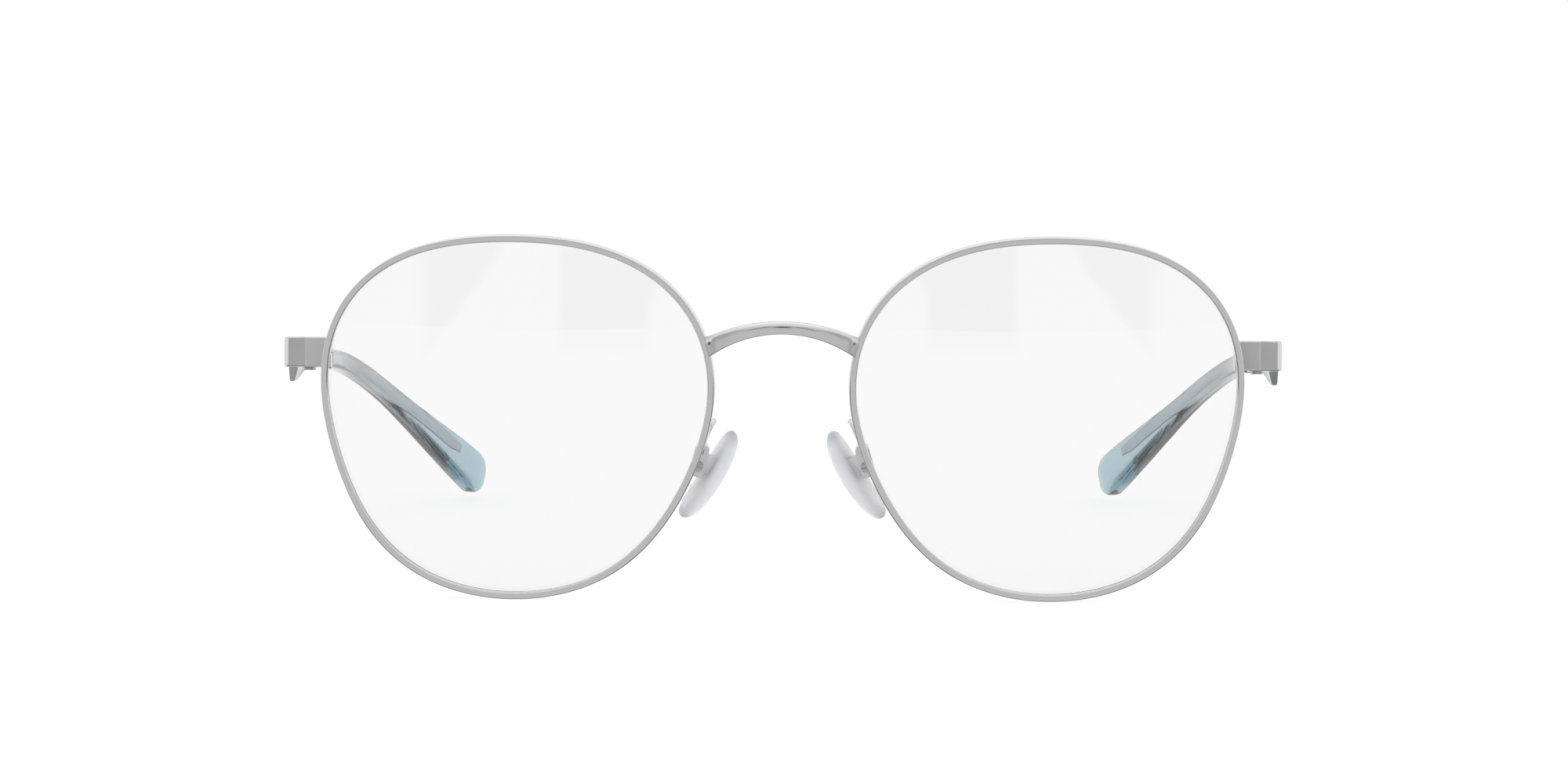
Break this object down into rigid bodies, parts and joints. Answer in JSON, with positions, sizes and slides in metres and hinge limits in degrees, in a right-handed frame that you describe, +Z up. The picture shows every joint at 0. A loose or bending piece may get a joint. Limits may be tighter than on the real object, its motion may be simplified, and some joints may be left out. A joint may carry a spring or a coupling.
{
  "type": "eyeglasses",
  "caption": "Round metal eyeglasses with clear lenses, a bowed bridge, rocking nose pads and temples that fold on screw hinges.",
  "frame": {"origin": "on the surface that the open glasses stand on, under the centre of their box", "axes": "+X to the wearer's left, +Y back along the temples, +Z up"},
  "size_m": [0.1366, 0.13, 0.0498],
  "materials": {
    "frame_metal": "polished plated nickel silver",
    "screws": "bright turned steel",
    "lenses": "clear polished",
    "nose_pads": "clear silicone",
    "temple_tips": "polished translucent blue-grey acetate"
  },
  "bodies": {
    "front": {"bridge": "frame_metal", "left_rim": "frame_metal", "left_lens": "lenses", "left_end_piece": "frame_metal", "left_upper_block": "frame_metal", "left_lower_block": "frame_metal", "left_rim_screw": "screws", "left_front_knuckles": "frame_metal", "left_hinge_screw": "screws", "left_pad_arm": "frame_metal", "left_pad_box": "frame_metal", "left_pad_screw": "screws", "right_rim": "frame_metal", "right_lens": "lenses", "right_end_piece": "frame_metal", "right_upper_block": "frame_metal", "right_lower_block": "frame_metal", "right_rim_screw": "screws", "right_front_knuckles": "frame_metal", "right_hinge_screw": "screws", "right_pad_arm": "frame_metal", "right_pad_box": "frame_metal", "right_pad_screw": "screws"},
    "left_temple_arm": {"left_temple": "frame_metal", "left_temple_knuckle": "frame_metal", "left_tip": "temple_tips"},
    "left_pad": {"left_nose_pad": "nose_pads", "left_pad_lug": "nose_pads"},
    "right_temple_arm": {"right_temple": "frame_metal", "right_temple_knuckle": "frame_metal", "right_tip": "temple_tips"},
    "right_pad": {"right_nose_pad": "nose_pads", "right_pad_lug": "nose_pads"}
  },
  "joints": [
    {"name": "left_temple_fold", "type": "hinge", "parent": "front", "child": "left_temple_arm", "pos_m": [0.065, -0.0508, 0.03278], "axis": [0, 0.1045, 0.9945], "range_deg": [0, 83]},
    {"name": "right_temple_fold", "type": "hinge", "parent": "front", "child": "right_temple_arm", "pos_m": [-0.065, -0.0508, 0.03278], "axis": [0, -0.1045, -0.9945], "range_deg": [0, 76]},
    {"name": "left_pad_rock", "type": "hinge", "parent": "front", "child": "left_pad", "pos_m": [0.01142, -0.05563, 0.01811], "axis": [0, 0.9986, 0.0523], "range_deg": [-8, 8]},
    {"name": "right_pad_rock", "type": "hinge", "parent": "front", "child": "right_pad", "pos_m": [-0.01142, -0.05563, 0.01811], "axis": [0, 0.9986, 0.0523], "range_deg": [-8, 8]}
  ]
}
